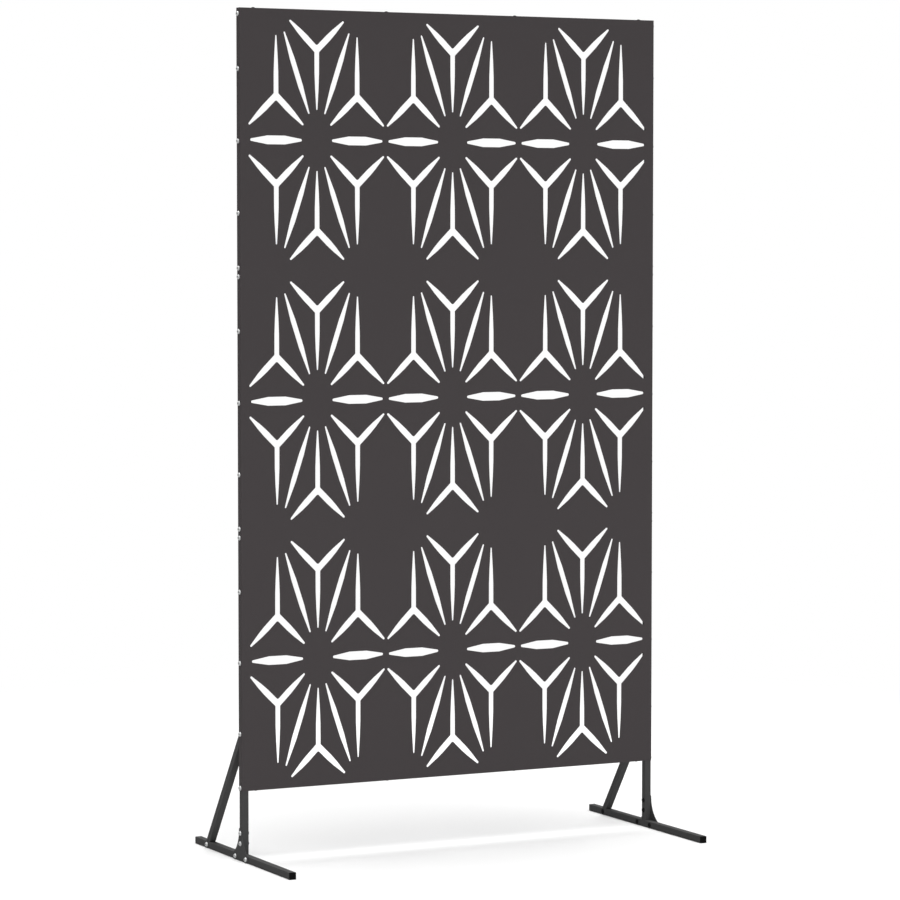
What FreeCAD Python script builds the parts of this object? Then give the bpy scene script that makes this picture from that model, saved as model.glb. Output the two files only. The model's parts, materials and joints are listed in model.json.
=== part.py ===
import FreeCAD, Part
import math
import os

# Privacy screen: three folded sheet panels with a stretched hemp-leaf cut-out, on two posts with braced feet.
# Millimetres, +Z up, front towards -Y, origin on the floor midway between the feet.

# Overall sizes
screen_width = 1000.0
panel_height = 550.0
panel_count = 3
ground_gap = 150.0
foot_length = 500.0

# Square tube of the posts, feet and braces
tube = 15.0
tube_wall = 1.0
tube_radius = 1.2

# Folded sheet of the panels
sheet = 0.8
fold_radius = 1.4
flange_end_gap = 1.6

# Cut-out motifs: their number, the plain sheet beside, above and between them, and the widths of the slots
motif_columns = 3
motif_side_margin = 21.0
motif_top_margin = 23.0
motif_gap = 8.0
level_slot_width = 18.5
slant_slot_width = 11.5
fork_stem_width = 11.1
fork_arm_width = 13.8
slot_corner_radius = 3.5

# Ends of the slots as shares of the motif's half width and half height
level_slot_shares = ((0.223, 0.0), (0.98, 0.0))
slant_slot_shares = ((0.116, 0.221), (0.481, 0.902))
upper_fork_shares = (0.0, 0.755)
side_fork_shares = (0.601, 0.371)
fork_stem_share = 0.5
fork_arm_shares = (0.4, 0.244)

# Width along a slot: how far along it, and the share of its full width there
slot_taper_shares = ((0.0, 0.3), (0.33, 1.0), (0.67, 1.0), (1.0, 0.3))
stem_taper_shares = ((0.0, 1.0), (0.38, 0.97), (0.64, 0.75), (1.0, 0.27))
arm_taper_shares = ((0.0, 1.0), (0.42, 1.0), (0.64, 0.83), (1.0, 0.33))

# Bolts and sleeve nuts that hold the panels, gussets and braces. Each nut has a flat head on the inner face
# of its tube and a threaded barrel inside the tube, which stops short of the tongues
bolt_diameter = 6.0
bolt_head_diameter = 10.5
bolt_head_height = 3.3
bolt_socket_width = 4.0
nut_head_diameter = 10.5
nut_head_height = 1.6
nut_socket_width = 4.0
nut_barrel_wall = 0.9
nut_tongue_gap = 0.5

# Smaller bolts and low cap nuts that join the panels at the seams
seam_bolt_diameter = 5.0
seam_bolt_head_diameter = 9.5
seam_bolt_head_height = 2.7
seam_bolt_socket_width = 3.0
seam_nut_width = 8.0
seam_nut_height = 3.5

# Fits of all bolts and nuts: room round a shank or barrel in its hole, room round a shank in its nut,
# the closed end of a nut, and the room between that and the end of the bolt
hole_clearance = 0.2
thread_clearance = 0.05
nut_end = 0.8
bolt_end_gap = 0.3

# Bolt places: on the posts beside each panel, and along the flanges at the seams
side_bolt_low_margin = 6.0
side_bolt_high_margin = 12.4
side_bolt_shares = (0.0, 0.216, 0.5, 0.784, 1.0)
flange_bolt_count = 4
flange_bolt_margin = 16.0

# Plugs in the flange holes at the very top and bottom
plug_head_diameter = 8.4
plug_head_height = 2.0
plug_length = 4.0
plug_barb = 0.5

# Gusset plates between post and foot: straight at the top, flared below, and upright again beside the foot
gusset_sheet = 1.2
gusset_top = 70.0
gusset_straight = 3.0
gusset_corner_radius = 2.0
gusset_foot_half = 38.7
gusset_flare_end = 13.5
gusset_lift = 0.5
gusset_bolt_margin = 10.5
gusset_bolt_pitch = 22.0
gusset_bolt_reach = 27.5

# Braces, which share the second panel bolt from the bottom, and the tongues in their ends
brace_bolt_share = side_bolt_shares[1]
brace_inset = 64.5
tongue_sheet = 4.0
tongue_fit = 0.15
tongue_slot_clearance = 0.4
tongue_grip = 20.0

# Plastic caps in the tube ends
cap_fit = 0.1
cap_wall = 1.5
foot_cap_lip = 3.0
foot_cap_depth = 14.0
post_cap_lip = 1.2
post_cap_depth = 6.0
cap_edge_radius = 0.6

# How far a cutting shape runs past what it cuts
overrun = 5.0

# Places that follow from the sizes
screen_top = ground_gap + panel_count * panel_height
post_outer = screen_width / 2 - sheet
post_axis = post_outer - tube / 2
post_inner = post_outer - tube
panel_front = -tube / 2 - sheet
panel_rear = tube / 2
flange_end = post_inner - nut_head_height - flange_end_gap
motif_pitch = (screen_width - 2 * motif_side_margin + motif_gap) / motif_columns
motif_half_width = (motif_pitch - motif_gap) / 2
motif_half_height = panel_height / 2 - motif_top_margin
side_bolt_run = panel_height - side_bolt_low_margin - side_bolt_high_margin
side_bolt_heights = [side_bolt_low_margin + share * side_bolt_run for share in side_bolt_shares]
flange_bolt_run = 2 * (flange_end - flange_bolt_margin)
flange_bolt_places = [flange_bolt_run * (number / (flange_bolt_count - 1) - 1 / 2)
                      for number in range(flange_bolt_count)]
brace_reach = foot_length / 2 - brace_inset
brace_top = ground_gap + side_bolt_low_margin + brace_bolt_share * side_bolt_run
brace_tilt = math.atan2(brace_reach, brace_top - tube / 2)
tube_bore = tube - 2 * tube_wall
tongue_length = tube / 2 * (1 / math.sin(brace_tilt) + 1 / math.tan(brace_tilt)) + tongue_grip
bolt_hole_radius = bolt_diameter / 2 + hole_clearance
seam_hole_radius = seam_bolt_diameter / 2 + hole_clearance
nut_bore_radius = bolt_diameter / 2 + thread_clearance
nut_barrel_radius = nut_bore_radius + nut_barrel_wall
nut_barrel_length = tube / 2 - tongue_sheet / 2 - nut_tongue_gap
nut_hole_radius = nut_barrel_radius + hole_clearance

origin = FreeCAD.Vector(0, 0, 0)
along_x = FreeCAD.Vector(1, 0, 0)
along_y = FreeCAD.Vector(0, 1, 0)
along_z = FreeCAD.Vector(0, 0, 1)


def point(x, y, z):
    return FreeCAD.Vector(x, y, z)


def box(x_range, y_range, z_range):
    """Block between a low and a high value on each axis."""
    low = point(x_range[0], y_range[0], z_range[0])
    high = point(x_range[1], y_range[1], z_range[1])
    size = high - low
    return Part.makeBox(size.x, size.y, size.z, low)


def moved(shape, place):
    copy = shape.copy()
    copy.translate(place)
    return copy


def turned(shape, axis, degrees):
    copy = shape.copy()
    copy.rotate(origin, axis, degrees)
    return copy


def without(solid, cutters):
    """The solid that is left when the cutting shapes are taken away."""
    return solid.cut(cutters).Solids[0]


def rounded_square(width, radius):
    """Wire of a square with rounded corners, in the XY plane about the origin."""
    half = width / 2
    flat = half - radius
    bow = flat + radius * math.cos(math.radians(45))
    edges = []
    for quarter in range(4):
        turn = FreeCAD.Rotation(along_z, 90 * quarter)
        side = Part.LineSegment(turn.multVec(point(half, -flat, 0)), turn.multVec(point(half, flat, 0)))
        corner = Part.Arc(turn.multVec(point(half, flat, 0)), turn.multVec(point(bow, bow, 0)),
                          turn.multVec(point(flat, half, 0)))
        edges += [side.toShape(), corner.toShape()]
    return Part.Wire(edges)


def square_tube(length):
    """Tube along +Z from the origin."""
    outside = Part.Face(rounded_square(tube, tube_radius)).extrude(point(0, 0, length))
    bore_radius = max(tube_radius - tube_wall, tube_wall / 10)
    bore = Part.Face(rounded_square(tube_bore, bore_radius)).extrude(point(0, 0, length))
    return without(outside, [bore])


def slot(start, end, width, taper_shares, round_start):
    """Tapered slot between two points of the XZ plane, cut along Y, with round tips."""
    run = end - start
    length = run.Length
    ahead = run * (1 / length)
    across = point(-ahead.z, 0, ahead.x)
    left, right = [], []
    for along_share, width_share in taper_shares:
        half = width * width_share / 2
        distance = along_share * length
        if along_share == 1.0:
            distance = length - half
        if along_share == 0.0 and round_start:
            distance = half
        centre = start + ahead * distance
        left.append(centre + across * half)
        right.append(centre - across * half)
    edges = [Part.LineSegment(a, b).toShape() for a, b in zip(left, left[1:])]
    edges.append(Part.Arc(left[-1], end, right[-1]).toShape())
    edges += [Part.LineSegment(b, a).toShape() for a, b in reversed(list(zip(right, right[1:])))]
    if round_start:
        edges.append(Part.Arc(right[0], start, left[0]).toShape())
    else:
        edges.append(Part.LineSegment(right[0], left[0]).toShape())
    cutter = Part.Face(Part.Wire(edges)).extrude(point(0, sheet + 2 * overrun, 0))
    return moved(cutter, point(0, panel_front - overrun, 0))


def in_motif(shares):
    """Point of the XZ plane at shares of the motif's half width and half height."""
    return point(shares[0] * motif_half_width, 0, shares[1] * motif_half_height)


def fork():
    """Y-shaped slot about the origin, stem down and arms up."""
    stem_tip = point(0, 0, -fork_stem_share * motif_half_height)
    arm_tip = in_motif(fork_arm_shares)
    stem = slot(origin, stem_tip, fork_stem_width, stem_taper_shares, False)
    arm = slot(origin, arm_tip, fork_arm_width, arm_taper_shares, False)
    solid = stem.multiFuse([arm, arm.mirror(origin, along_x)]).removeSplitter()
    middle_edges = []
    for edge in solid.Edges:
        ends = [vertex.Point for vertex in edge.Vertexes]
        upright = len(ends) == 2 and abs(abs((ends[1] - ends[0]).y) - edge.Length) < 0.01 * edge.Length
        if upright and math.hypot(ends[0].x, ends[0].z) < fork_arm_width:
            middle_edges.append(edge)
    return solid.makeFillet(slot_corner_radius, middle_edges)


def motif():
    """All slots of one hemp-leaf motif about the origin."""
    level = slot(*[in_motif(s) for s in level_slot_shares], level_slot_width, slot_taper_shares, True)
    slant = slot(*[in_motif(s) for s in slant_slot_shares], slant_slot_width, slot_taper_shares, True)
    upper = moved(fork(), in_motif(upper_fork_shares))
    side = moved(fork().mirror(origin, along_z), in_motif(side_fork_shares))
    right = [slant, side, slant.mirror(origin, along_z), side.mirror(origin, along_z), level]
    left = [piece.mirror(origin, along_x) for piece in right]
    return right + left + [upper, upper.mirror(origin, along_z)]


def upright_edges(solid, x, y):
    """Edges along Z that stand at this Y, at this X on either side."""
    found = []
    for edge in solid.Edges:
        middle = edge.CenterOfMass
        upright = abs(edge.BoundBox.ZLength - edge.Length) < sheet / 10
        if upright and abs(abs(middle.x) - x) < sheet / 10 and abs(middle.y - y) < sheet / 10:
            found.append(edge)
    return found


def panel():
    """One folded sheet panel standing on Z = 0, with its slots and bolt holes."""
    half = screen_width / 2
    solid = box((-half, half), (panel_front, panel_rear), (0, panel_height))
    depth = (-tube / 2, panel_rear + overrun)
    inside = box((-post_outer, post_outer), depth, (sheet, panel_height - sheet))
    notches = [box(x_range, depth, (-overrun, panel_height + overrun))
               for x_range in ((-post_outer, -flange_end), (flange_end, post_outer))]
    solid = without(solid, [inside] + notches)
    solid = solid.makeFillet(fold_radius, upright_edges(solid, half, panel_front))
    bend_radius = max(fold_radius - sheet, sheet / 10)
    solid = solid.makeFillet(bend_radius, upright_edges(solid, post_outer, -tube / 2))
    cuts = []
    for column in range(motif_columns):
        place = point((column - (motif_columns - 1) / 2) * motif_pitch, 0, panel_height / 2)
        cuts += [moved(piece, place) for piece in motif()]
    across = screen_width + 2 * overrun
    for z in side_bolt_heights:
        cuts.append(Part.makeCylinder(bolt_hole_radius, across, point(-across / 2, 0, z), along_x))
    upward = panel_height + 2 * overrun
    for x in flange_bolt_places:
        cuts.append(Part.makeCylinder(seam_hole_radius, upward, point(x, 0, -overrun), along_z))
    return without(solid, cuts)


def hexagon(width, height):
    """Hexagonal prism on the XY plane, its width measured across flats."""
    corners = [point(width / math.sqrt(3) * math.cos(math.radians(60 * i)),
                     width / math.sqrt(3) * math.sin(math.radians(60 * i)), 0) for i in range(7)]
    return Part.Face(Part.makePolygon(corners)).extrude(point(0, 0, height))


def dome_arc(low_radius, low, high_radius, high):
    """Arc in the XZ plane, on a sphere centred on the Z axis, between two radii at two heights."""
    centre = (high ** 2 + high_radius ** 2 - low ** 2 - low_radius ** 2) / (2 * (high - low))
    radius = math.hypot(low_radius, low - centre)
    angle = (math.atan2(low - centre, low_radius) + math.atan2(high - centre, high_radius)) / 2
    bow = point(radius * math.cos(angle), 0, centre + radius * math.sin(angle))
    return Part.Arc(point(low_radius, 0, low), bow, point(high_radius, 0, high))


def turned_solid(edges):
    """Solid of revolution about Z of an outline in the XZ plane."""
    return Part.Face(Part.Wire([edge.toShape() for edge in edges])).revolve(origin, along_z, 360)


def button_bolt(diameter, head_diameter, head_height, socket_width, length):
    """Domed bolt along Z: the seat of its head on Z = 0, its shank below."""
    head = head_diameter / 2
    rim = head_height / 6
    crown = socket_width * 0.75
    edges = [Part.LineSegment(origin, point(head, 0, 0)),
             Part.LineSegment(point(head, 0, 0), point(head, 0, rim)),
             dome_arc(head, rim, crown, head_height),
             Part.LineSegment(point(crown, 0, head_height), point(0, 0, head_height)),
             Part.LineSegment(point(0, 0, head_height), origin)]
    shank = Part.makeCylinder(diameter / 2, length, point(0, 0, -length), along_z)
    socket = moved(hexagon(socket_width, head_height), point(0, 0, head_height * 0.4))
    return without(turned_solid(edges).fuse(shank).removeSplitter(), [socket])


def cap_nut(diameter, width, height):
    """Nut on the XY plane, closed at the top, with its outer corners taken off there."""
    corner = width / math.sqrt(3)
    blank = Part.makeCylinder(corner, height)
    top_rim = [edge for edge in blank.Edges if edge.BoundBox.ZMin > height / 2]
    blank = blank.makeChamfer(corner - width / 2, top_rim)
    bore = Part.makeCylinder(diameter / 2 + thread_clearance, height - nut_end)
    return without(hexagon(width, height).common(blank), [bore])


def sleeve_nut():
    """Nut with the seat of its head on Z = 0: a flat round head with a socket above, an open barrel below."""
    head = Part.makeCylinder(nut_head_diameter / 2, nut_head_height)
    top_rim = [edge for edge in head.Edges if edge.BoundBox.ZMin > nut_head_height / 2]
    head = head.makeFillet(nut_head_height / 3, top_rim)
    barrel_end = point(0, 0, -nut_barrel_length)
    barrel = Part.makeCylinder(nut_barrel_radius, nut_barrel_length, barrel_end)
    bore = Part.makeCylinder(nut_bore_radius, nut_barrel_length, barrel_end)
    socket = moved(hexagon(nut_socket_width, nut_head_height), point(0, 0, nut_end))
    return without(head.fuse(barrel).removeSplitter(), [bore, socket])


def tube_cap(lip, depth):
    """Plastic cap for a tube end at Z = 0: a lip above it and a hollow plug below."""
    cover = Part.Face(rounded_square(tube, tube_radius)).extrude(point(0, 0, lip))
    top_edges = [edge for edge in cover.Edges if edge.BoundBox.ZMin > lip * 0.99]
    cover = cover.makeFillet(min(cap_edge_radius, lip / 2), top_edges)
    plug_width = tube_bore - 2 * cap_fit
    corner = max(tube_radius - tube_wall, cap_fit)
    plug = Part.Face(rounded_square(plug_width, corner)).extrude(point(0, 0, -depth))
    inner = plug_width / 2 - cap_wall
    hollow = box((-inner, inner), (-inner, inner), (-depth, 0))
    return cover.fuse(plug.cut(hollow)).removeSplitter()


def flange_plug():
    """Push-in plug for a flange hole: a low dome above Z = 0 and a barbed stem below."""
    stem = seam_hole_radius - cap_fit
    barb = stem + plug_barb
    tip = stem * 0.6
    barb_height = -2 * sheet
    head = plug_head_diameter / 2
    rim = plug_head_height / 4
    edges = [Part.LineSegment(point(0, 0, -plug_length), point(tip, 0, -plug_length)),
             Part.LineSegment(point(tip, 0, -plug_length), point(barb, 0, barb_height)),
             Part.LineSegment(point(barb, 0, barb_height), point(stem, 0, -sheet)),
             Part.LineSegment(point(stem, 0, -sheet), point(stem, 0, 0)),
             Part.LineSegment(point(stem, 0, 0), point(head, 0, 0)),
             Part.LineSegment(point(head, 0, 0), point(head, 0, rim)),
             dome_arc(head, rim, 0, plug_head_height),
             Part.LineSegment(point(0, 0, plug_head_height), point(0, 0, -plug_length))]
    return turned_solid(edges)


def tongue():
    """Flat tongue along +Z with its bolt hole on the origin and a round end."""
    width = tube_bore - 2 * tongue_fit
    blade = box((-tongue_sheet / 2, tongue_sheet / 2), (-width / 2, width / 2), (0, tongue_length))
    end = Part.makeCylinder(width / 2, tongue_sheet, point(-tongue_sheet / 2, 0, 0), along_x)
    hole = Part.makeCylinder(bolt_hole_radius, tongue_sheet + 2 * overrun,
                             point(-tongue_sheet / 2 - overrun, 0, 0), along_x)
    return without(blade.fuse(end).removeSplitter(), [hole])


def tongue_slot():
    """Room for a tongue to pass through a tube wall."""
    half_thickness = tongue_sheet / 2 + tongue_slot_clearance
    half_width = tube_bore / 2 - tongue_fit + tongue_slot_clearance
    return box((-half_thickness, half_thickness), (-half_width, half_width), (0, tongue_length))


def at_brace_foot(shape):
    return moved(turned(shape, along_x, math.degrees(brace_tilt)), point(post_axis, brace_reach, tube / 2))


def at_brace_top(shape):
    return moved(turned(shape, along_x, math.degrees(brace_tilt) + 180), point(post_axis, 0, brace_top))


def cross_hole(y, z):
    """Hole through a right-hand tube from side to side, wider on the inner side for the barrel of a nut."""
    start = point(post_inner - overrun, y, z)
    narrow = Part.makeCylinder(bolt_hole_radius, tube + 2 * overrun, start, along_x)
    wide = Part.makeCylinder(nut_hole_radius, tube / 2 + overrun, start, along_x)
    return narrow.fuse(wide)


def gusset_holes():
    """Places of the gusset's bolts, as Y and Z: two on the post, two on the foot."""
    high = gusset_top - gusset_bolt_margin
    return [(0, high - gusset_bolt_pitch), (0, high),
            (-gusset_bolt_reach, tube / 2), (gusset_bolt_reach, tube / 2)]


def panel_bolt_places():
    """Places of the panels' side bolts, as Y and Z."""
    return [(0, ground_gap + number * panel_height + height)
            for number in range(panel_count) for height in side_bolt_heights]


def post():
    """Right-hand post, from the top of its foot to its cap."""
    bottom = tube
    solid = moved(square_tube(screen_top - post_cap_lip - bottom), point(post_axis, 0, bottom))
    holes = [cross_hole(y, z) for y, z in panel_bolt_places() + gusset_holes()[:2]]
    return without(solid, holes + [at_brace_top(tongue_slot())])


def foot():
    """Right-hand foot, from cap to cap."""
    length = foot_length - 2 * foot_cap_lip
    solid = moved(turned(square_tube(length), along_x, -90), point(post_axis, -length / 2, tube / 2))
    holes = [cross_hole(y, z) for y, z in gusset_holes()[2:] + [(brace_reach, tube / 2)]]
    return without(solid, holes + [at_brace_foot(tongue_slot())])


def brace():
    """Right-hand brace, cut to sit on the foot and against the rear of the post."""
    span = math.hypot(brace_reach, brace_top)
    solid = at_brace_foot(square_tube(span))
    below = box((post_inner - overrun, post_outer + overrun), (0, 2 * brace_reach), (-span, tube))
    ahead = box((post_inner - overrun, post_outer + overrun), (-span, tube / 2), (-span, 2 * span))
    return without(solid, [below, ahead])


def gusset():
    """Right-hand gusset plate on the outer faces of post and foot."""
    half = tube / 2
    flare_top = gusset_top - gusset_straight
    drop = flare_top - gusset_flare_end
    spread = gusset_foot_half - half
    flare_radius = (spread ** 2 + drop ** 2) / (2 * spread)
    bow_angle = math.atan2(drop, flare_radius - spread) / 2
    bow_y = half + flare_radius * (1 - math.cos(bow_angle))
    bow_z = flare_top - flare_radius * math.sin(bow_angle)

    def corner(y, z):
        return point(post_outer, y, z)

    rear = [corner(half, gusset_top), corner(half, flare_top), corner(bow_y, bow_z),
            corner(gusset_foot_half, gusset_flare_end), corner(gusset_foot_half, gusset_lift)]
    front = [corner(-place.y, place.z) for place in reversed(rear)]
    edges = [Part.LineSegment(front[-1], rear[0]), Part.LineSegment(rear[0], rear[1]),
             Part.Arc(rear[1], rear[2], rear[3]), Part.LineSegment(rear[3], rear[4]),
             Part.LineSegment(rear[4], front[0]), Part.LineSegment(front[0], front[1]),
             Part.Arc(front[1], front[2], front[3]), Part.LineSegment(front[3], front[4])]
    plate = Part.Face(Part.Wire([edge.toShape() for edge in edges])).extrude(point(gusset_sheet, 0, 0))
    round_edges = [edge for edge in plate.Edges
                   if edge.BoundBox.ZMin > gusset_top - gusset_corner_radius / 2
                   and abs(edge.Length - gusset_sheet) < gusset_sheet / 10]
    plate = plate.makeFillet(gusset_corner_radius, round_edges)
    return without(plate, [cross_hole(y, z) for y, z in gusset_holes()])


def side_bolts(places, seat):
    """Right-hand bolts with their heads on the plane X = seat, each ending in a nut at the inner face."""
    bolt = button_bolt(bolt_diameter, bolt_head_diameter, bolt_head_height, bolt_socket_width,
                       seat - post_inner - bolt_end_gap)
    bolt = turned(bolt, along_y, 90)
    return Part.makeCompound([moved(bolt, point(seat, y, z)) for y, z in places])


def side_nuts(places):
    """Right-hand nuts with their heads on the inner faces of the tubes."""
    nut = turned(sleeve_nut(), along_y, -90)
    return Part.makeCompound([moved(nut, point(post_inner, y, z)) for y, z in places])


def save(name, shape):
    shape.exportStep(os.path.join("parts", name + ".step"))


def save_pair(name, shape):
    """Saves a right-hand piece and its mirror image on the left."""
    save(name + "_right", shape)
    save(name + "_left", shape.mirror(origin, along_x))


def flange_row(piece, height):
    """A copy of a piece at each bolt place along the flanges, at one height."""
    return Part.makeCompound([moved(piece, point(x, 0, height)) for x in flange_bolt_places])


def save_panels():
    """Panels numbered from the bottom up, the bolts and nuts of each seam, and the outer flanges' plugs."""
    one_panel = panel()
    for number in range(panel_count):
        save("panel_" + str(number + 1), moved(one_panel, point(0, 0, ground_gap + number * panel_height)))
    bolt = button_bolt(seam_bolt_diameter, seam_bolt_head_diameter, seam_bolt_head_height,
                       seam_bolt_socket_width, 2 * sheet + seam_nut_height - nut_end - bolt_end_gap)
    bolt = turned(bolt, along_x, 180)
    nut = cap_nut(seam_bolt_diameter, seam_nut_width, seam_nut_height)
    for number in range(1, panel_count):
        seam = ground_gap + number * panel_height
        save("seam_bolts_" + str(number), flange_row(bolt, seam - sheet))
        save("seam_nuts_" + str(number), flange_row(nut, seam + sheet))
    plug = flange_plug()
    save("flange_plugs_top", flange_row(plug, screen_top))
    save("flange_plugs_bottom", flange_row(turned(plug, along_x, 180), ground_gap))


def save_legs():
    """Posts, feet, braces and gussets on both sides, with their caps, tongues, bolts and nuts."""
    save_pair("post", post())
    save_pair("foot", foot())
    save_pair("brace", brace())
    save_pair("gusset", gusset())
    save_pair("brace_tongues", Part.makeCompound([at_brace_foot(tongue()), at_brace_top(tongue())]))
    save_pair("post_cap", moved(tube_cap(post_cap_lip, post_cap_depth),
                                point(post_axis, 0, screen_top - post_cap_lip)))
    end = foot_length / 2 - foot_cap_lip
    cap = tube_cap(foot_cap_lip, foot_cap_depth)
    save_pair("foot_cap_front", moved(turned(cap, along_x, 90), point(post_axis, -end, tube / 2)))
    save_pair("foot_cap_rear", moved(turned(cap, along_x, -90), point(post_axis, end, tube / 2)))
    brace_places = [(brace_reach, tube / 2)]
    save_pair("panel_bolts", side_bolts(panel_bolt_places(), screen_width / 2))
    save_pair("panel_nuts", side_nuts(panel_bolt_places()))
    save_pair("gusset_bolts", side_bolts(gusset_holes(), post_outer + gusset_sheet))
    save_pair("gusset_nuts", side_nuts(gusset_holes()))
    save_pair("brace_bolt", side_bolts(brace_places, post_outer))
    save_pair("brace_nut", side_nuts(brace_places))


os.makedirs("parts", exist_ok=True)
save_panels()
save_legs()
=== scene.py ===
import json
import math
import bpy
import numpy as np
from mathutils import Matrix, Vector


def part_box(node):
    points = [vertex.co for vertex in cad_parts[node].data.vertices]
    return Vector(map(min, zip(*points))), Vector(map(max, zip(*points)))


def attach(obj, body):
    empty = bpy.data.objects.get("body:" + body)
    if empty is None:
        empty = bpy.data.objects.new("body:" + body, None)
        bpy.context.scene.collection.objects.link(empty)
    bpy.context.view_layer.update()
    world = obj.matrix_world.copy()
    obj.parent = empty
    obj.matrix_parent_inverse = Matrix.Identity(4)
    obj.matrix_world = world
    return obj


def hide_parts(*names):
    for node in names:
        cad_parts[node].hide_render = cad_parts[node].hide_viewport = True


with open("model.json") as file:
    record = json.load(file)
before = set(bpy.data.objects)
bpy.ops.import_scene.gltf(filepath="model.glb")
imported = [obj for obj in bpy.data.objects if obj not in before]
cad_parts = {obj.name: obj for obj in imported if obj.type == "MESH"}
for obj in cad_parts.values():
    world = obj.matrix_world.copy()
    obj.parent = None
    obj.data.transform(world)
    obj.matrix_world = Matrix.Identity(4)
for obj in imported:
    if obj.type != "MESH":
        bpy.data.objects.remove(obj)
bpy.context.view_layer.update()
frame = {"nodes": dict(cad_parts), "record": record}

# Privacy screen: powder-coated sheet panels and square tube, zinc bolts, black nuts and black plastic caps.
# Metres, +Z up, front of the panels towards -Y.

# Places and slots read from the frame
foot_low, foot_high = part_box("foot_right")
post_low, post_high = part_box("post_right")
brace_low, brace_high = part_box("brace_right")
panel_boxes = [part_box(name) for name in ("panel_1", "panel_2", "panel_3")]
tube_half = (foot_high.z - foot_low.z) / 2
post_axis = (post_low.x + post_high.x) / 2
post_inner = post_low.x
brace_foot = sum(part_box("brace_bolt_right"), Vector()) / 2
slots = {part["node"]: part["material_slot"] for part in frame["record"]["subparts"]}

# Large bolts and sleeve nuts on the posts and feet, small bolts and cap nuts at the seams between the panels
large_bolt = {"shank": 0.003, "head": 0.00525, "head_height": 0.0033, "socket": 0.002, "pitch": 0.001}
small_bolt = {"shank": 0.0025, "head": 0.00475, "head_height": 0.0027, "socket": 0.0015, "pitch": 0.0008}
sleeve_nut = {"bore": 0.00305, "barrel": 0.00395, "length": 0.005, "head": 0.00525, "head_height": 0.0016,
              "socket": 0.002, "end": 0.0008}
cap_nut = {"bore": 0.00255, "flat": 0.004, "height": 0.0035, "end": 0.0008}
hexagon_sides = 6
threads_per_bolt = 5

# Bolts: the dome's rim and flat top, the socket's floor and lead, and the thread's depth
rim_per_head_height = 1 / 6
socket_floor_per_head_height = 0.4
crown_per_socket = 1.5
lead_per_socket = 0.15
thread_depth_per_pitch = 0.6

# Nuts: the lead of the bore, the round edge of a sleeve nut's head, and how a cap nut's corners are taken off
lead_per_bore = 0.08
edge_per_head_height = 1 / 3
face_per_flat = 0.97
corner_slope = math.radians(30)
drops_per_height = (0, 0.02, 0.05, 0.09, 0.14, 0.2, 0.28, 1)

# How finely bolts and nuts are divided, and the angle from which an edge is sharp
points_round_bolt = 36
points_round_nut = 72
points_over_dome = 9
points_over_edge = 5
points_per_thread = 9
crease_angle = math.radians(35)

# Bolt places: beside each panel, on the gussets and along the seams
side_bolt_low_margin = 0.006
side_bolt_high_margin = 0.0124
side_bolt_shares = (0.0, 0.216, 0.5, 0.784, 1.0)
gusset_bolt_heights = (0.0375, 0.0595)
gusset_bolt_reach = 0.0275
seam_bolt_count = 4
seam_bolt_reach = 0.465
sheet_thickness = 0.0008

# Noise: the value that it varies about, and how many finer layers are laid over its lumps
noise_middle = 0.5
few_layers = 1.0
some_layers = 2.0
many_layers = 3.0

# Powder coat: its colours, the sizes of its grain, orange peel and clouds, and how far each shows, with a
# painted highlight along tube corners
panel_colour = (0.0575, 0.0513, 0.0528, 1.0)
frame_colour = (0.0565, 0.0563, 0.0563, 1.0)
coat_grain_size = 0.0012
coat_peel_size = 0.004
coat_cloud_size = 0.18
coat_grain_share = 0.6
coat_cloud_share = 0.06
corner_highlight_share = 0.1
coat_grain_depth = 0.00012
coat_peel_depth = 0.00004
coat_roughness = 0.66
coat_gloss_share = 0.15
coat_reflection = 0.03

# Where the painted highlight along a tube's corners starts and where it is full, as shares of the way from
# the middle of a face to the sharp corner
corner_start_share = 0.82
corner_full_share = 0.95

# Zinc plate of the bolts: two tints, the width of its turned rings and of its patches, and its uneven gloss
zinc_cool = (0.4, 0.415, 0.43, 1.0)
zinc_warm = (0.46, 0.455, 0.44, 1.0)
zinc_ring_size = 0.00011
zinc_patch_size = 0.005
zinc_ring_depth = 0.000006
zinc_roughness = 0.45
zinc_ring_gloss_share = 0.16
zinc_patch_gloss_share = 0.1

# Black oxide of the nuts: the range of its tone, its patches and pits, and its uneven gloss
oxide_dark = (0.002, 0.002, 0.0022, 1.0)
oxide_pale = (0.005, 0.005, 0.005, 1.0)
oxide_patch_size = 0.003
oxide_pit_size = 0.0004
oxide_pit_depth = 0.000012
oxide_roughness = 0.4
oxide_gloss_share = 0.2
oxide_reflection = 0.03

# Black plastic of the caps and plugs: the range of its tone, its flow marks and grain, and its uneven gloss
plastic_dark = (0.002, 0.002, 0.002, 1.0)
plastic_pale = (0.0045, 0.0045, 0.0045, 1.0)
plastic_flow_size = 0.008
plastic_grain_size = 0.00035
plastic_grain_depth = 0.000016
plastic_roughness = 0.55
plastic_gloss_share = 0.15
plastic_reflection = 0.04

# Camera that stands where the photograph was taken from
camera_place = (-3.4775, -6.8534, 1.3177)
camera_heading = math.radians(26.888)
camera_pitch = math.radians(-3.4085)
camera_lens = 141.95

# Light: an even white surround, a broad lamp overhead and a weaker one in front
white = (1.0, 1.0, 1.0, 1.0)
white_strength = 1.0
surround_strength = 0.1
lamp_spread = math.radians(60)
overhead_strength = 1.27 * math.pi
overhead_elevation = math.radians(90)
front_strength = 0.36 * math.pi
front_elevation = math.radians(35)

# Floor: its paint as seen and as it returns soft light, the radius of the shaded part, and of the whole disc
floor_seen_colour = (0.8, 0.8, 0.8, 1.0)
floor_soft_colour = (0.78, 0.78, 0.78, 1.0)
floor_shaded_radius = 1.2
floor_white_radius = 3.0
floor_radius = 12.0
floor_sides = 96

# Sockets of Blender's Mix node that are for colours
mix_factor = 0
mix_first = 6
mix_second = 7
mix_result = 2


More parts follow.
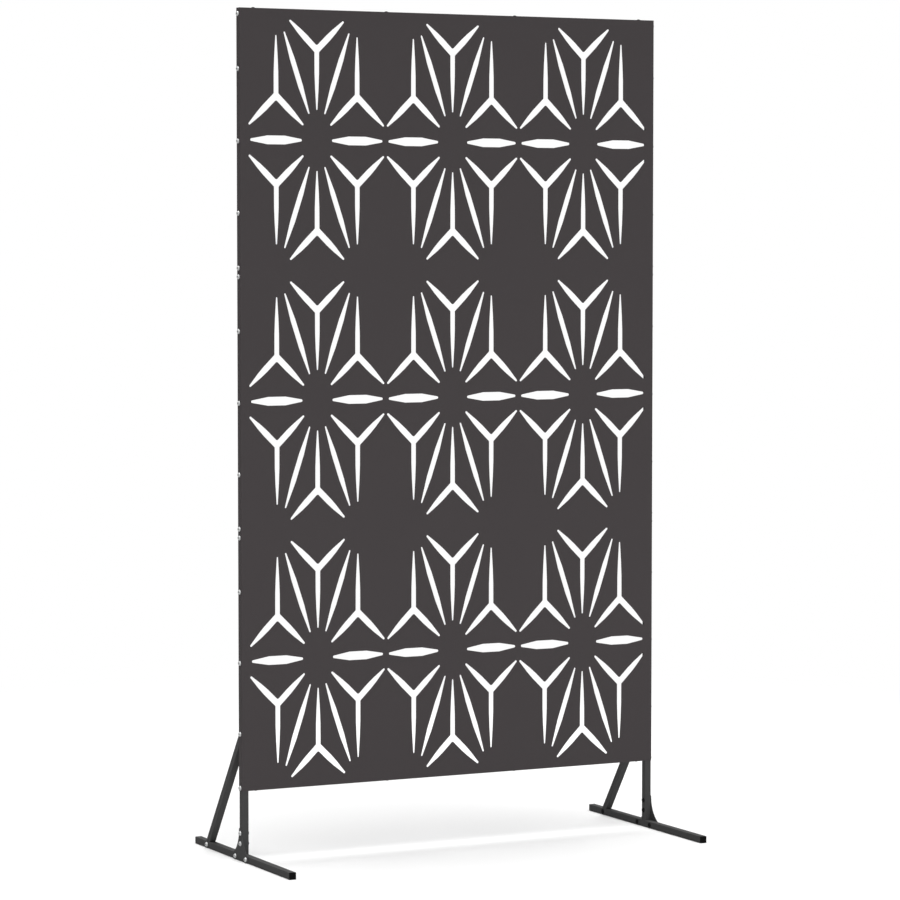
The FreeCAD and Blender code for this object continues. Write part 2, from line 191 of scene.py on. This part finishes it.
class Wire:
    """One output of a node, on which arithmetic adds Math nodes."""

    def __init__(self, shader, socket):
        self.shader = shader
        self.socket = socket

    def math(self, operation, first, second=0.0):
        return self.shader.node("ShaderNodeMath", {"operation": operation}, {0: first, 1: second})

    def __add__(self, other):
        return self.math("ADD", self, other)

    def __sub__(self, other):
        return self.math("SUBTRACT", self, other)

    def __rsub__(self, other):
        return self.math("SUBTRACT", other, self)

    def __mul__(self, other):
        return self.math("MULTIPLY", self, other)

    def __truediv__(self, other):
        return self.math("DIVIDE", self, other)

    def __abs__(self):
        return self.math("ABSOLUTE", self)

    def root(self):
        return self.math("SQRT", self)

    def lower(self, other):
        return self.math("MINIMUM", self, other)

    def higher(self, other):
        return self.math("MAXIMUM", self, other)

    __radd__ = __add__
    __rmul__ = __mul__


class Shader:
    """A node tree that starts empty."""

    def __init__(self, tree):
        self.tree = tree
        tree.nodes.clear()

    def node(self, kind, settings, sockets, output=0):
        """Adds a node, sets its settings, then the values or links of its sockets, and gives one output."""
        made = self.tree.nodes.new(kind)
        for name, value in settings.items():
            setattr(made, name, value)
        for name, value in sockets.items():
            if isinstance(value, Wire):
                self.tree.links.new(value.socket, made.inputs[name])
            else:
                made.inputs[name].default_value = value
        return Wire(self, made.outputs[output]) if made.outputs else made

    def place(self):
        """Place of the shaded point in the screen's own frame."""
        return self.node("ShaderNodeTexCoord", {}, {}, "Object")

    def axes(self, vector):
        """X, Y and Z of a vector."""
        return [self.node("ShaderNodeSeparateXYZ", {}, {"Vector": vector}, axis) for axis in "XYZ"]

    def noise(self, vector, size, layers):
        """Noise about 0, half a step up or down at most, whose lumps are about this size."""
        sockets = {"Vector": vector, "Scale": 1 / size, "Detail": layers}
        return self.node("ShaderNodeTexNoise", {}, sockets) - noise_middle

    def step(self, value, low, high):
        """Smooth rise from 0 to 1 between two values."""
        return self.node("ShaderNodeMapRange", {"interpolation_type": "SMOOTHSTEP"},
                         {"Value": value, "From Min": low, "From Max": high})

    def mix(self, factor, first, second):
        """Colour between two colours."""
        return self.node("ShaderNodeMix", {"data_type": "RGBA"},
                         {mix_factor: factor, mix_first: first, mix_second: second}, mix_result)

    def shade(self, colour, share):
        """Colour made brighter or darker by a share that changes over the surface."""
        brightness = self.node("ShaderNodeCombineColor", {}, {"Red": share, "Green": share, "Blue": share})
        return self.node("ShaderNodeMix", {"data_type": "RGBA", "blend_type": "MULTIPLY"},
                         {mix_factor: 1.0, mix_first: colour, mix_second: brightness}, mix_result)

    def bump(self, height, depth, normal=None):
        """Surface normal of a relief with this depth, laid over another normal if one is given."""
        sockets = {"Height": height, "Distance": depth}
        if normal is not None:
            sockets["Normal"] = normal
        return self.node("ShaderNodeBump", {}, sockets)

    def surface(self, sockets):
        """Principled surface with these sockets, as the material's output."""
        body = self.node("ShaderNodeBsdfPrincipled", {}, sockets)
        self.node("ShaderNodeOutputMaterial", {}, {"Surface": body})

    def seen_directly(self):
        """1 for rays from the camera, a mirror or glass, and 0 for soft light."""
        camera, glossy, through = [self.node("ShaderNodeLightPath", {}, {}, name)
                                   for name in ("Is Camera Ray", "Is Glossy Ray", "Is Transmission Ray")]
        return camera.higher(glossy).higher(through)


def new_finish(name):
    """New material and the shader of its nodes."""
    material = bpy.data.materials.new(name)
    material.use_nodes = True
    return material, Shader(material.node_tree)


def post_corner(x, y, z):
    """Nearness to a corner of a post: 0 on the middle of a face, 1 on the sharp corner."""
    return (abs(abs(x) - post_axis) / tube_half).lower(abs(y) / tube_half)


def foot_corner(x, y, z):
    """Nearness to a corner of a foot, which lies along Y."""
    return (abs(abs(x) - post_axis) / tube_half).lower(abs(z - tube_half) / tube_half)


def brace_corner(x, y, z):
    """Nearness to a corner of a brace: its cross axis is square to the slant in the YZ plane."""
    tilt = math.atan2(brace_high.y - brace_low.y - 2 * tube_half, brace_high.z - brace_low.z)
    across = (y - brace_foot.y) * math.cos(tilt) + (z - tube_half) * math.sin(tilt)
    return (abs(abs(x) - post_axis) / tube_half).lower(abs(across) / tube_half)


def powder_coat(name, colour, corner=None):
    """Matt powder coat: fine grain, faint orange peel, slow clouds, and on tubes a painted highlight, a paler
    colour along the corners.
    """
    material, shader = new_finish(name)
    place = shader.place()
    grain = shader.noise(place, coat_grain_size, some_layers)
    peel = shader.noise(place, coat_peel_size, few_layers)
    cloud = shader.noise(place, coat_cloud_size, many_layers)
    share = 1 + coat_grain_share * grain + coat_cloud_share * cloud
    if corner:
        # Paler colour along the tube corners: a painted highlight where the edges catch light
        corner_highlight = shader.step(corner(*shader.axes(place)), corner_start_share, corner_full_share)
        share = share + corner_highlight_share * corner_highlight
    relief = shader.bump(grain, coat_grain_depth, shader.bump(peel, coat_peel_depth))
    shader.surface({"Base Color": shader.shade(colour, share),
                    "Roughness": coat_roughness + coat_gloss_share * grain,
                    "Specular IOR Level": coat_reflection,
                    "Normal": relief})
    return material


def zinc_plate(name):
    """Zinc on turned steel: fine rings round the bolt's axis and a faint tint that wanders."""
    material, shader = new_finish(name)
    radius = shader.node("ShaderNodeAttribute", {"attribute_name": "from_axis"}, {}, "Fac")
    rings = shader.node("ShaderNodeTexNoise", {"noise_dimensions": "1D"},
                        {"W": radius, "Scale": 1 / zinc_ring_size})
    patch = shader.noise(shader.place(), zinc_patch_size, some_layers)
    uneven = zinc_ring_gloss_share * rings + zinc_patch_gloss_share * patch
    shader.surface({"Base Color": shader.mix(patch + noise_middle, zinc_cool, zinc_warm),
                    "Metallic": 1.0,
                    "Roughness": zinc_roughness + uneven,
                    "Normal": shader.bump(rings, zinc_ring_depth)})
    return material


def black_oxide(name):
    """Blackened steel of the nuts: nearly black, with an oily, uneven gloss."""
    material, shader = new_finish(name)
    place = shader.place()
    patch = shader.noise(place, oxide_patch_size, many_layers)
    pits = shader.noise(place, oxide_pit_size, few_layers)
    shader.surface({"Base Color": shader.mix(patch + noise_middle, oxide_dark, oxide_pale),
                    "Roughness": oxide_roughness + oxide_gloss_share * patch,
                    "Specular IOR Level": oxide_reflection,
                    "Normal": shader.bump(pits, oxide_pit_depth)})
    return material


def moulded_plastic(name):
    """Black moulded plastic: a fine spark-eroded grain and slightly uneven gloss."""
    material, shader = new_finish(name)
    place = shader.place()
    grain = shader.noise(place, plastic_grain_size, few_layers)
    flow = shader.noise(place, plastic_flow_size, some_layers)
    shader.surface({"Base Color": shader.mix(flow + noise_middle, plastic_dark, plastic_pale),
                    "Roughness": plastic_roughness + plastic_gloss_share * flow,
                    "Specular IOR Level": plastic_reflection,
                    "Normal": shader.bump(grain, plastic_grain_depth)})
    return material


def closed_mesh(name, grids):
    """Mesh of equal grids of points, shaped copies by rows by columns by 3: the columns close on themselves,
    and the first and last rows are filled in."""
    copies, rows, columns = grids.shape[:3]
    index = np.arange(copies * rows * columns).reshape(copies, rows, columns)
    following = np.roll(index, -1, axis=2)
    quads = np.stack([index[:, :-1], following[:, :-1], following[:, 1:], index[:, 1:]], axis=-1)
    faces = quads.reshape(-1, 4).tolist() + index[:, 0, ::-1].tolist() + index[:, -1].tolist()
    mesh = bpy.data.meshes.new(name)
    mesh.from_pydata(grids.reshape(-1, 3), [], faces)
    mesh.shade_smooth()
    mesh.set_sharp_from_angle(angle=crease_angle)
    return mesh


def hexagon(angle):
    """Radius of a hexagon of inner radius 1: one over the cosine of the angle to the nearest flat."""
    half_side = math.pi / hexagon_sides
    nearest = np.mod(angle + half_side, 2 * half_side) - half_side
    return 1 / np.cos(nearest)


def round_angles(count):
    """Equal steps of a whole turn, as one row."""
    return np.linspace(0, math.tau, count, endpoint=False)[None, :]


def as_rows(values):
    """One row for each number of a list, or a grid as it is."""
    values = np.asarray(values, float)
    return values if values.ndim == 2 else values.reshape(-1, 1)


def around(radius, height, angle):
    """Points round the Z axis, one row for each radius and height: the radius times the cosine and the sine
    of the angle, and the height."""
    radius = as_rows(radius)
    points = np.broadcast_arrays(radius * np.cos(angle), radius * np.sin(angle), as_rows(height))
    return np.stack(points, axis=-1)


def bolt_points(bolt, length):
    """Grid of a domed bolt along Z, seat at height 0: rows run from the socket's floor over the dome and down
    the shank, columns go round. The socket's radius is a hexagon's, the dome is part of a sphere, and the
    thread's radius falls and rises with height over pitch plus the share of a turn."""
    shank = bolt["shank"]
    head = bolt["head"]
    top = bolt["head_height"]
    pitch = bolt["pitch"]
    angle = round_angles(points_round_bolt)
    socket = bolt["socket"] * hexagon(angle)
    lead = bolt["socket"] * lead_per_socket
    crown = bolt["socket"] * crown_per_socket
    rim = top * rim_per_head_height
    middle = (top ** 2 + crown ** 2 - rim ** 2 - head ** 2) / (2 * (top - rim))
    sphere = math.hypot(head, rim - middle)
    dome = np.linspace(crown, head, points_over_dome)
    depth = pitch * thread_depth_per_pitch
    thread_top = threads_per_bolt * pitch - length
    height = np.linspace(thread_top, pitch / 2 - length, threads_per_bolt * points_per_thread)[:, None]
    turn = np.mod(height / pitch + angle / math.tau, 1)
    fade = np.clip((thread_top - height) / pitch, 0, 1)
    thread = shank - depth * fade * (1 - abs(2 * turn - 1))
    return np.concatenate([around(socket, top * socket_floor_per_head_height, angle),
                           around(socket, top - lead, angle),
                           around(dome, middle + np.sqrt(sphere ** 2 - dome ** 2), angle),
                           around([head, shank, shank], [0, 0, thread_top], angle),
                           around(thread, height, angle),
                           around(shank - depth, -length, angle)])


def sleeve_nut_points(nut):
    """Grid of a sleeve nut with the seat of its head at height 0: rows run from the floor of its socket over
    the head, down the barrel and up into the bore, columns go round. The socket's radius is a hexagon's, and
    the head's edge is a quarter circle."""
    bore = nut["bore"]
    barrel = nut["barrel"]
    length = nut["length"]
    head = nut["head"]
    top = nut["head_height"]
    angle = round_angles(points_round_nut)
    socket = nut["socket"] * hexagon(angle)
    lead = bore * lead_per_bore
    edge = top * edge_per_head_height
    bend = np.linspace(0, math.pi / 2, points_over_edge)
    return np.concatenate([around(socket, nut["end"], angle),
                           around(socket, top - lead, angle),
                           around(socket + lead, top, angle),
                           around(head - edge + edge * np.sin(bend), top - edge + edge * np.cos(bend), angle),
                           around([head, barrel, barrel], [0, 0, lead - length], angle),
                           around([barrel - lead, bore + lead], [-length, -length], angle),
                           around([bore, bore], [lead - length, 0], angle)])


def cap_nut_points(nut):
    """Grid of a cap nut on the plane of height 0: rows run from its closed end down its outside and up into
    its bore, columns go round. The outer radius is the lesser of a hexagon's and of a cone's, which takes off
    the corners."""
    bore = nut["bore"]
    flat = nut["flat"]
    tall = nut["height"]
    angle = round_angles(points_round_nut)
    lead = bore * lead_per_bore
    drop = tall * np.array(drops_per_height)[:, None]
    cone = flat * face_per_flat + drop / math.tan(corner_slope)
    return np.concatenate([around(np.minimum(flat * hexagon(angle), cone), tall - drop, angle),
                           around([bore + lead, bore, bore], [0, lead, tall - nut["end"]], angle)])


def set_out(points, places, outward, sideways):
    """Copies of a grid with its Z axis turned outward and its X axis sideways, moved to each place."""
    turn = np.array([sideways, np.cross(outward, sideways), outward], float)
    return (points @ turn)[None] + np.array(places, float)[:, None, None, :]


def add_fasteners(node, points, places, outward, sideways):
    """A group of bolts or nuts that stands for its plain group in the frame. Each point keeps its distance
    from the axis of its own piece."""
    name = node + "_detailed"
    mesh = closed_mesh(name, set_out(points, places, outward, sideways))
    from_axis = np.hypot(points[..., 0], points[..., 1])
    attribute = mesh.attributes.new("from_axis", "FLOAT", "POINT")
    attribute.data.foreach_set("value", np.tile(from_axis.ravel(), len(places)).astype(np.float32))
    mesh.materials.append(finishes[slots[node]])
    piece = bpy.data.objects.new(name, mesh)
    bpy.context.scene.collection.objects.link(piece)
    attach(piece, "root")
    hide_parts(node)


def panel_bolt_places():
    """Places of the panels' side bolts, as Y and Z."""
    places = []
    for low, high in panel_boxes:
        run = high.z - low.z - side_bolt_low_margin - side_bolt_high_margin
        places += [(0.0, low.z + side_bolt_low_margin + share * run) for share in side_bolt_shares]
    return places


def gusset_bolt_places():
    """Places of the gussets' bolts, as Y and Z."""
    on_post = [(0.0, height) for height in gusset_bolt_heights]
    return on_post + [(reach, tube_half) for reach in (-gusset_bolt_reach, gusset_bolt_reach)]


def add_side_fasteners(bolts, nuts, places):
    """Bolts with their heads outside and nuts inside, on the left and on the right."""
    for side, sign in (("left", -1), ("right", 1)):
        low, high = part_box(f"{bolts}_{side}")
        length = high.x - low.x - large_bolt["head_height"]
        seat = max(abs(low.x), abs(high.x)) - large_bolt["head_height"]
        heads = [(sign * seat, y, z) for y, z in places]
        add_fasteners(f"{bolts}_{side}", bolt_points(large_bolt, length), heads, (sign, 0, 0), (0, 1, 0))
        inside = [(sign * post_inner, y, z) for y, z in places]
        add_fasteners(f"{nuts}_{side}", sleeve_nut_points(sleeve_nut), inside, (-sign, 0, 0), (0, 1, 0))


def add_seam_fasteners():
    """Bolts that point up through the flanges at each seam, and the nuts on them."""
    across = np.linspace(-seam_bolt_reach, seam_bolt_reach, seam_bolt_count)
    for number, panel_box in enumerate(panel_boxes[:-1], 1):
        seam = panel_box[1].z
        low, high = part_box(f"seam_bolts_{number}")
        length = high.z - low.z - small_bolt["head_height"]
        heads = [(x, 0.0, seam - sheet_thickness) for x in across]
        add_fasteners(f"seam_bolts_{number}", bolt_points(small_bolt, length), heads, (0, 0, -1), (1, 0, 0))
        tops = [(x, 0.0, seam + sheet_thickness) for x in across]
        add_fasteners(f"seam_nuts_{number}", cap_nut_points(cap_nut), tops, (0, 0, 1), (1, 0, 0))


def dress_nodes():
    """Gives every node of the frame the finish of its slot, with its own corners on the tubes."""
    for node, slot in slots.items():
        finish = finishes[node.split("_")[0]] if node in tube_nodes else finishes[slot]
        frame["nodes"][node].material_slots[0].material = finish


def add_floor():
    """Pale disc, shaded near the screen and plain white further out, where it meets the white surround."""
    rim = around(floor_radius, 0.0, round_angles(floor_sides))[0]
    mesh = bpy.data.meshes.new("floor")
    mesh.from_pydata(rim, [], [list(range(floor_sides))])
    material, shader = new_finish("floor_paint")
    seen = shader.seen_directly()
    x, y = shader.axes(shader.place())[:2]
    far = shader.step((x * x + y * y).root(), floor_shaded_radius, floor_white_radius) * seen
    colour = shader.mix(seen, floor_soft_colour, floor_seen_colour)
    paint = shader.node("ShaderNodeBsdfDiffuse", {}, {"Color": colour})
    glow = shader.node("ShaderNodeEmission", {}, {"Color": white, "Strength": white_strength})
    both = shader.node("ShaderNodeMixShader", {}, {"Fac": far, 1: paint, 2: glow})
    shader.node("ShaderNodeOutputMaterial", {}, {"Surface": both})
    mesh.materials.append(material)
    floor = bpy.data.objects.new("floor", mesh)
    bpy.context.scene.collection.objects.link(floor)


def add_light():
    """White surround, faint as soft light, with a broad lamp overhead and a weaker one in front."""
    scene = bpy.context.scene
    scene.world = bpy.data.worlds.new("surround")
    scene.world.use_nodes = True
    shader = Shader(scene.world.node_tree)
    seen = shader.seen_directly()
    strength = seen * white_strength + (1 - seen) * surround_strength
    sky = shader.node("ShaderNodeBackground", {}, {"Color": white, "Strength": strength})
    shader.node("ShaderNodeOutputWorld", {}, {"Surface": sky})
    for name, power, elevation in (("overhead", overhead_strength, overhead_elevation),
                                   ("front", front_strength, front_elevation)):
        lamp = bpy.data.objects.new(name, bpy.data.lights.new(name, "SUN"))
        lamp.data.energy = power
        lamp.data.angle = lamp_spread
        towards = Vector((0, -math.cos(elevation), math.sin(elevation)))
        lamp.rotation_euler = towards.to_track_quat("Z", "Y").to_euler()
        scene.collection.objects.link(lamp)


def add_camera():
    """Camera turned from +Y by its heading and tipped by its pitch."""
    camera = bpy.data.objects.new("camera", bpy.data.cameras.new("camera"))
    ahead = Vector((math.sin(camera_heading) * math.cos(camera_pitch),
                    math.cos(camera_heading) * math.cos(camera_pitch), math.sin(camera_pitch)))
    camera.location = camera_place
    camera.rotation_euler = ahead.to_track_quat("-Z", "Y").to_euler()
    camera.data.lens = camera_lens
    bpy.context.scene.collection.objects.link(camera)
    bpy.context.scene.camera = camera


tube_corners = {"post": post_corner, "foot": foot_corner, "brace": brace_corner}
tube_nodes = {f"{name}_{side}" for name in tube_corners for side in ("left", "right")}
finishes = {"panel_coat": powder_coat("panel_coat", panel_colour),
            "frame_coat": powder_coat("frame_coat", frame_colour),
            "zinc_steel": zinc_plate("zinc_steel"),
            "black_steel": black_oxide("black_steel"),
            "black_plastic": moulded_plastic("black_plastic")}
# Tube coats, each with a painted highlight along its own corners
for tube_name, tube_corner in tube_corners.items():
    finishes[tube_name] = powder_coat(f"{tube_name}_coat", frame_colour, tube_corner)

dress_nodes()
add_side_fasteners("panel_bolts", "panel_nuts", panel_bolt_places())
add_side_fasteners("gusset_bolts", "gusset_nuts", gusset_bolt_places())
add_side_fasteners("brace_bolt", "brace_nut", [(brace_foot.y, tube_half)])
add_seam_fasteners()
add_floor()
add_light()
add_camera()
bpy.context.scene.view_settings.view_transform = "Standard"
